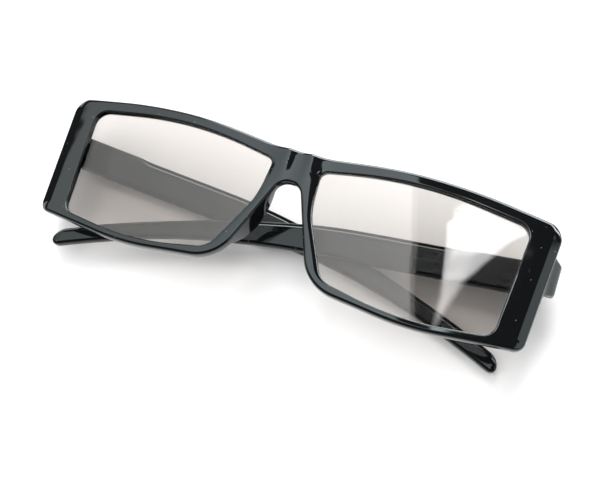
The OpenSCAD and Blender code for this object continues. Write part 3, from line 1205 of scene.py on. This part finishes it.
@dataclass
class Temple:
    """One temple, drawn straight back from its hinge by a node rule, then folded."""

    side: Side
    temple_l: float = 135.0
    tip_h: float = 5.3
    tip_flat: float = 0.4
    drop: float = 5.2
    straight_l: float = 51.0
    ear_r: float = 226.0
    taper_lead: float = 10.0
    thin_run: float = 20.0
    crown: float = 0.5
    crown_run: float = 12.0
    crown_least: float = 0.2
    bevel: float = 1.5
    bevel_start: float = 15.0
    bevel_run: float = 6.0
    bevel_least: float = 0.4
    bevel_soft: float = 0.2
    arm_n: int = 150
    tip_n: int = 18
    edge_n: int = 8
    bend_n: int = 4
    crown_n: int = 8

    def cut_marks(self) -> list[tuple[tuple[float, ...], Triple]]:
        """Where the points of a cut lie, as shares of its sizes.

        Returns:
            For each point, its shares across (side, rounding, bevel, crown) and up (height,
            rounding, bevel).
        """
        turn = [(math.cos(a), math.sin(a)) for a in quarter(self.edge_n)]
        soft, kept, n = self.bevel_soft, 1 - self.bevel_soft, self.bend_n
        bend = [(soft * (1 - i / n) ** 2, soft * (i / n) ** 2) for i in range(n + 1)]
        rise = [2 * i / self.crown_n - 1 for i in range(1, self.crown_n)]
        marks = [((1, c - 1, 0, 1), (1, s - 1, 0)) for c, s in turn]
        marks += [((0, 0, kept + over - kept * under, 0), (1, 0, -under)) for over, under in bend]
        marks += [((0, 0, kept * over, 0), (1, 0, over - 1 - under)) for over, under in bend]
        marks += [((0, 1 - c, 0, 0), (-1, 1 - s, 0)) for c, s in turn]
        marks += [((1, s - 1, 0, 1), (-1, 1 - c, 0)) for c, s in turn]
        marks += [((1, 0, 0, v * v), (v, -v, 0)) for v in rise]
        return marks

    def grid(self) -> Mesh:
        """A bare tube whose points carry their shares, for the rule to shape.

        Returns:
            The mesh, with its attributes.
        """
        tip_r = self.tip_h / 2
        start, arm = HINGES.butt_fit / 2, self.temple_l - tip_r
        rings = [(start + (arm - start) * k / self.arm_n, 1.0) for k in range(self.arm_n + 1)]
        rings += [(arm + tip_r * math.sin(a), math.cos(a)) for a in quarter(self.tip_n)[1:-1]]
        marks = self.cut_marks()
        m = len(marks)
        mesh = tube([(k, i, 0) for i in range(len(rings)) for k in range(m)], m)
        columns = {
            "along": ("FLOAT", [s for s, _ in rings for _ in marks]),
            "shrink": ("FLOAT", [k for _, k in rings for _ in marks]),
            "bulge": ("FLOAT", [a[3] for _ in rings for a, _ in marks]),
            "across": ("FLOAT_VECTOR", [x for _ in rings for a, _ in marks for x in a[:3]]),
            "up": ("FLOAT_VECTOR", [x for _ in rings for _, u in marks for x in u]),
        }
        for name, (kind, values) in columns.items():
            layer = mesh.attributes.new(name, kind, "POINT")
            layer.data.foreach_set("value" if kind == "FLOAT" else "vector", values)
        return mesh

    def rule(self, material: Material) -> NodeRule:
        """The node rule that sweeps the cut along the temple.

        Args:
            material: What the temple is moulded in.

        Returns:
            The rule, with the temple's sizes as its inputs.
        """
        sizes = {
            "Length": self.temple_l, "Butt height": HINGES.temple_h, "Tip height": self.tip_h,
            "Butt thickness": HINGES.temple_t, "Arm thickness": HINGES.arm_t, "Drop": math.radians(self.drop),
            "Straight run": self.straight_l, "Ear radius": self.ear_r, "Bow radius": HINGES.bow_r,
            "Crown": self.crown, "Bevel": self.bevel, "Bevel start": self.bevel_start,
            "Edge": HINGES.temple_edge, "Inward": HINGES.inward,
        }
        rule = NodeRule("temple sweep", sizes, material)
        size = rule.size
        s, k, bulge = (rule.term(rule.attribute(name)) for name in ("along", "shrink", "bulge"))
        side, round_u, bevel_u = rule.parts(rule.attribute("across", "FLOAT_VECTOR"))
        height, round_v, bevel_v = rule.parts(rule.attribute("up", "FLOAT_VECTOR"))
        past = s - size("Straight run")
        late = past.at_least(0.0)
        middle = s * size("Drop").tangent() * -1.0 - late * late / 2.0 / size("Ear radius")
        curve = size("Length") - size("Straight run") - self.taper_lead
        taper = ((past + self.taper_lead) / curve).eased()
        tall = size("Butt height") + (size("Tip height") - size("Butt height")) * taper
        run = s - size("Bevel start")
        thin = (run / self.thin_run).eased()
        thick = size("Butt thickness") + (size("Arm thickness") - size("Butt thickness")) * thin
        kept = thick * (k * (1 - self.tip_flat) + self.tip_flat)
        inner = size("Inward") - s * s / 2.0 / size("Bow radius") + (thick - kept) / 2.0
        bevel = (size("Bevel") * (run / self.bevel_run).eased()).at_least(self.bevel_least) * k
        rise = (s / self.crown_run).eased() * (1 - self.crown_least) + self.crown_least
        crown = size("Crown") * rise * k
        edge = size("Edge") * k
        x = inner + kept * side + edge * round_u + bevel * bevel_u - crown * bulge
        y = middle + tall * k / 2.0 * height + edge * round_v + bevel * bevel_v
        shaped = {"Geometry": rule.into.outputs["Geometry"], "Position": rule.vector(x, y, s * -1.0)}
        rule.close(rule.node("GeometryNodeSetPosition", shaped))
        return rule

    def build(self, material: Material) -> None:
        """Makes the temple and stands it in its node's place.

        Args:
            material: What it is moulded in.
        """
        mesh = outward(self.rule(material).run(self.grid()))
        pocket = moved(Leaf.pocket(HINGES.leaf_temple), FLIP_Z)
        mesh = combined(mesh, [pocket], "DIFFERENCE")
        name = f"{self.side.word}_temple"
        piece = Piece(f"{name}_arm", mesh, HINGES.folded(self.side))
        piece.stand(f"{self.side.word}_arm", Slot.TEMPLE, material, name)


@dataclass
class Leaf:
    """A hinge leaf: barrels set along the axis by a node rule, and the plate behind them."""

    barrels: int
    length: float
    barrel_l: float
    pitch: float
    bore: float = 0.7
    round_r: float = 0.12
    round_n: int = 48
    plate_r: float = 0.1
    web_x: float = 0.75
    web_z: float = 0.45
    web_in: float = 0.02
    web_over: float = 0.3

    FIT = 0.05
    OVERCUT = 2.0

    @classmethod
    def pocket(cls, length: float) -> Mesh:
        """The room that a leaf takes in the plastic, drawn round the hinge's axis.

        Args:
            length: The plate's length.

        Returns:
            A box that is cut from the plastic.
        """
        half = HINGES.leaf_span / 2 + cls.FIT
        low = (HINGES.inward - cls.OVERCUT, -half, -cls.OVERCUT)
        return block(low, (HINGES.inward + HINGES.leaf_t + cls.FIT, half, length + HINGES.leaf_gap + cls.FIT))

    def rule(self, material: Material) -> NodeRule:
        """The node rule that rolls one barrel and repeats it along the axis.

        Args:
            material: What the leaf is stamped from.

        Returns:
            The rule, with the barrel's sizes as its inputs.
        """
        sizes = {
            "Radius": HINGES.barrel_r, "Bore": self.bore, "Length": self.barrel_l,
            "Pitch": self.pitch, "Count": float(self.barrels), "Rounding": self.round_r,
        }
        rule = NodeRule("hinge barrels", sizes, material)
        size = rule.size
        wall = {"Width": size("Radius") - size("Bore"), "Height": size("Length")}
        square = rule.node("GeometryNodeCurvePrimitiveQuadrilateral", wall)
        soft = rule.node("GeometryNodeFilletCurve", {"Curve": square, "Radius": size("Rounding")})
        path = {"Resolution": self.round_n, "Radius": (size("Radius") + size("Bore")) / 2.0}
        circle = rule.node("GeometryNodeCurvePrimitiveCircle", path)
        barrel = rule.node("GeometryNodeCurveToMesh", {"Curve": circle, "Profile Curve": soft})
        first = rule.vector(y=(size("Count") - 1.0) * size("Pitch") * -0.5)
        rule.close(rule.row(barrel, size("Count"), first, rule.vector(y=size("Pitch"))))
        return rule

    def mesh(self, material: Material) -> Mesh:
        """The whole leaf, drawn round the hinge's axis with its plate toward +Z.

        Args:
            material: What it is stamped from.

        Returns:
            The barrels, the plate and the webs between them.
        """
        half, gap, far = HINGES.leaf_span / 2, HINGES.leaf_gap, HINGES.inward + HINGES.leaf_t
        barrels = outward(self.rule(material).run(bpy.data.meshes.new("seed")))
        plate = block((HINGES.inward, -half, gap), (far, half, gap + self.length), self.plate_r)
        parts = [barrels, plate]
        reach = self.barrel_l / 2 - self.web_in
        for i in range(self.barrels):
            y = (i - (self.barrels - 1) / 2) * self.pitch
            high = (far - self.web_in, y + reach, gap + self.web_over)
            parts.append(block((self.web_x, y - reach, self.web_z), high, self.plate_r))
        return joined(parts)


@dataclass
class HingePair:
    """Both hinges: the leaves on the front and in the temples, and the screws."""

    outer_barrel: float = 1.6
    mid_barrel: float = 2.4
    pitch: float = 4.2
    screw_r: float = 0.65
    head_r: float = 1.15
    head_h: float = 0.6
    head_taper: float = 0.86
    slot_l: float = 3.0
    shank_n: int = 40
    head_n: int = 48

    def screw_rule(self, material: Material) -> NodeRule:
        """The node rule that turns a slotted screw and sets one in each hinge.

        Args:
            material: What the screws are made of.

        Returns:
            The rule, with the screw's sizes as its inputs.
        """
        sizes = {
            "Shank radius": self.screw_r, "Shank length": HINGES.leaf_span, "Head radius": self.head_r,
            "Head height": self.head_h, "Hinge distance": HINGES.x,
        }
        rule = NodeRule("hinge screws", sizes, material)
        shank_r, shank_l, head_r, head_h, far = (rule.size(name) for name in sizes)
        rod = {"Vertices": self.shank_n, "Radius": shank_r, "Depth": shank_l}
        shank = rule.node("GeometryNodeMeshCylinder", rod)
        cone = {"Vertices": self.head_n, "Radius Bottom": head_r, "Radius Top": head_r * self.head_taper}
        head = rule.node("GeometryNodeMeshCone", {**cone, "Depth": head_h})
        bar = rule.vector(head_r * self.slot_l, head_h / 2.0, head_h)
        slot = rule.raised(rule.node("GeometryNodeMeshCube", {"Size": bar}), shank_l / 2.0 + head_h)
        solids = {0: rule.raised(head, shank_l / 2.0), 1: slot}
        slotted = rule.node("GeometryNodeMeshBoolean", solids, operation="DIFFERENCE")
        whole = rule.node("GeometryNodeJoinGeometry", {0: slotted})
        rule.feed(whole, {0: shank})
        rule.close(rule.row(whole, len(Side), rule.vector(far * -1.0), rule.vector(far * 2.0)))
        return rule

    def build(self, steel: Material, screws: Material) -> None:
        """Makes the leaves and the screws and stands them in their nodes' places.

        Args:
            steel: What the leaves are stamped from.
            screws: What the screws are turned from.
        """
        turned = self.screw_rule(screws).run(bpy.data.meshes.new("seed"))
        middle = Matrix.Translation((0, HINGES.hinge_y, -HINGES.lug_back))
        names = [f"{side.word}_hinge_screw" for side in Side]
        Piece("hinge_screws", turned, middle).stand("front", Slot.SCREW, screws, *names)
        for side in Side:
            word = side.word
            front = Leaf(barrels=2, length=HINGES.leaf_front, barrel_l=self.outer_barrel, pitch=self.pitch)
            piece = Piece(f"{word}_front_leaf_plate", front.mesh(steel), HINGES.on_front(side))
            piece.stand("front", Slot.HINGE, steel, f"{word}_front_leaf")
            arm = Leaf(barrels=1, length=HINGES.leaf_temple, barrel_l=self.mid_barrel, pitch=0.0)
            piece = Piece(f"{word}_temple_leaf_plate", arm.mesh(steel), HINGES.folded(side) @ FLIP_Z)
            piece.stand(f"{word}_arm", Slot.HINGE, steel, f"{word}_temple_leaf")


@dataclass(frozen=True)
class Lamp:
    """A soft square light, placed in the front's frame and aimed at its middle."""

    name: str
    place: Triple
    size: float
    radiance: float

    def build(self) -> None:
        """Hangs the lamp, which reflections and views through the lenses don't show."""
        data = bpy.data.lights.new(self.name, "AREA")
        data.shape = "SQUARE"
        data.size = MILLIMETRE * self.size
        data.energy = self.radiance * math.pi * data.size**2
        lamp = linked(self.name, data)
        spot = PLACE @ Vector(self.place)
        back = (spot - PLACE.translation).normalized()
        along = TURN @ Vector((1, 0, 0))
        along = (along - back * along.dot(back)).normalized()
        turn = Matrix((along, back.cross(along), back)).transposed().to_4x4()
        lamp.matrix_world = Matrix.Translation(spot) @ turn
        lamp.visible_glossy = False
        lamp.visible_transmission = False


@dataclass(frozen=True)
class Window:
    """A bright card as gloss sees it: a patch of the dark room between straight borders."""

    name: str
    radiance: float
    corners: tuple[Triple, ...]
    soft: float = 0.006
    rise: Triple = (0.0, 0.0, 0.0)

    def glow(self, sheet: Sheet, way: NodeSocket) -> Term:
        """How bright the room is along a ray.

        Args:
            sheet: The room's shader.
            way: The ray's direction.

        Returns:
            The card's radiance within its borders and nothing outside.
        """
        spots = [(TURN @ Vector(corner)).normalized() for corner in self.corners]
        middle = sum(spots, Vector())
        glow = (sheet.dot(way, TURN @ Vector(self.rise), self.name) + 1.0) * self.radiance
        for a, b in zip(spots, spots[1:] + spots[:1]):
            border = a.cross(b).normalized()
            if border.dot(middle) < 0:
                border.negate()
            glow = glow * sheet.ramp(sheet.dot(way, border, self.name), -self.soft, self.soft)
        return glow


@dataclass
class Studio:
    """The camera, the pale floor and the soft lights round the glasses."""

    eye: Triple = (66.478, -73.094, 250.806)
    right: Triple = (0.93732, 0.32079, -0.13611)
    down: Triple = (0.27186, -0.91751, -0.29029)
    focal: float = 60.0
    sensor: float = 36.0
    near: float = 0.01
    floor_size: float = 6.0
    floor_n: int = 8
    floor_colour: Triple = (0.9, 0.9, 0.9)
    floor_rough: float = 0.75
    floor_level: float = 0.2
    grain_scale: float = 900.0
    grain_height: float = 0.0002
    grain_strength: float = 0.05
    room_seen: float = 0.96
    room_spread: float = 0.40
    room_gloss: float = 0.02
    lamps: tuple[Lamp, ...] = (
        Lamp("key", (-150, 640, 620), 420, 12.2),
        Lamp("fill", (-200, 0, 850), 1200, 2.2),
    )
    windows: tuple[Window, ...] = (
        Window(
            "left_card",
            2.975,
            ((-0.15, 0.6, 0.786), (0.355, -0.05, 0.933), (-0.88, -0.05, 0.47), (-0.72, 0.52, 0.46)),
            rise=(0.571, 0.0, 0.0),
        ),
        Window(
            "softbox",
            12.0,
            (
                (0.245, 0.275, 0.93),
                (0.30, 0.298, 0.90),
                (0.468, 0.280, 0.83),
                (0.35, 0.217, 0.91),
                (0.285, 0.21, 0.935),
            ),
        ),
        Window(
            "softbox_foot",
            7.0,
            ((0.285, 0.212, 0.935), (0.35, 0.217, 0.91), (0.303, 0.145, 0.94)),
            0.012,
        ),
        Window(
            "right_card",
            1.3,
            ((0.9, -0.4, 0.2), (0.95, 0.3, 0.1), (0.78, 0.3, 0.55), (0.72, -0.4, 0.56)),
            0.03,
        ),
        Window(
            "back_card",
            14.0,
            ((0.85, 0.45, 0.12), (-0.4, 0.9, 0.12), (-0.3, 0.7, 0.62), (0.62, 0.5, 0.62)),
            0.02,
        ),
    )

    def camera(self) -> None:
        """Sets up the camera at the photograph's viewing angle."""
        data = bpy.data.cameras.new("camera")
        data.sensor_fit = "HORIZONTAL"
        data.sensor_width = self.sensor
        data.lens = self.focal
        data.clip_start = self.near
        right, up = TURN @ Vector(self.right), TURN @ -Vector(self.down)
        pose = Matrix((right, up, right.cross(up))).transposed().to_4x4()
        holder = linked("camera", data)
        holder.matrix_world = Matrix.Translation(PLACE @ Vector(self.eye)) @ pose
        bpy.context.scene.camera = holder

    def floor(self) -> None:
        """Lays the pale floor, a sheet of fine-grained board."""
        work = bmesh.new()
        n = self.floor_n
        bmesh.ops.create_grid(work, x_segments=n, y_segments=n, size=self.floor_size / 2)
        mesh = poured(work, bpy.data.meshes.new("floor"))
        material, sheet, shader = new_material("pale_board")
        place = sheet.node("ShaderNodeTexCoord").outputs["Object"]
        grain = sheet.node("ShaderNodeTexNoise", {"Vector": place, "Scale": self.grain_scale, "Detail": 3.0})
        sheet.feed(shader, {
            "Base Color": (*self.floor_colour, 1),
            "Roughness": self.floor_rough,
            "Specular IOR Level": self.floor_level,
            "Normal": sheet.bump(grain, self.grain_height, self.grain_strength),
        })
        mesh.materials.append(material)
        board = linked("floor", mesh)

    def light(self) -> None:
        """Hangs the lamps in a room that is dark but for its cards to gloss, and pale behind the view."""
        for lamp in self.lamps:
            lamp.build()
        world = bpy.data.worlds.new("studio")
        world.use_nodes = True
        bpy.context.scene.world = world
        sheet = Sheet(world.node_tree)
        path = sheet.node("ShaderNodeLightPath").outputs
        way = sheet.node("ShaderNodeTexCoord").outputs["Generated"]
        cards = sheet.term(self.room_gloss)
        for window in self.windows:
            cards = cards + window.glow(sheet, way)
        gloss, spread = (sheet.term(path[f"{kind} Depth"]).at_most(1.0) for kind in ("Glossy", "Diffuse"))
        seen = (cards - self.room_seen) * gloss + self.room_seen
        strength = (sheet.term(self.room_spread) - seen) * spread + seen
        sheet.feed(sheet.tree.nodes["Background"], {"Color": (1, 1, 1, 1), "Strength": strength})
        bpy.context.scene.view_settings.view_transform = "Standard"
        bpy.context.scene.view_settings.look = "None"


def main() -> None:
    """Builds the studio and the glasses in order."""
    logging.basicConfig(level=logging.INFO, format="%(name)s: %(message)s")
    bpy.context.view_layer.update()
    studio = Studio()
    studio.camera()
    frame_plastic = PlasticFinish("frame_plastic").build()
    temple_plastic = PlasticFinish("temple_plastic", gloss=0.06, level=0.3).build()
    film = LensFinish("lens_film").build()
    leaf_steel = SteelFinish("leaf_steel").build()
    screw_steel = SteelFinish("screw_steel", colour=(0.42, 0.43, 0.45), rough=0.2).build()
    front = Front()
    front.build(frame_plastic)
    for side in Side:
        Lens(side, front).build(film)
        Temple(side).build(temple_plastic)
    HingePair().build(leaf_steel, screw_steel)
    studio.floor()
    studio.light()


if __name__ == "__main__":
    main()
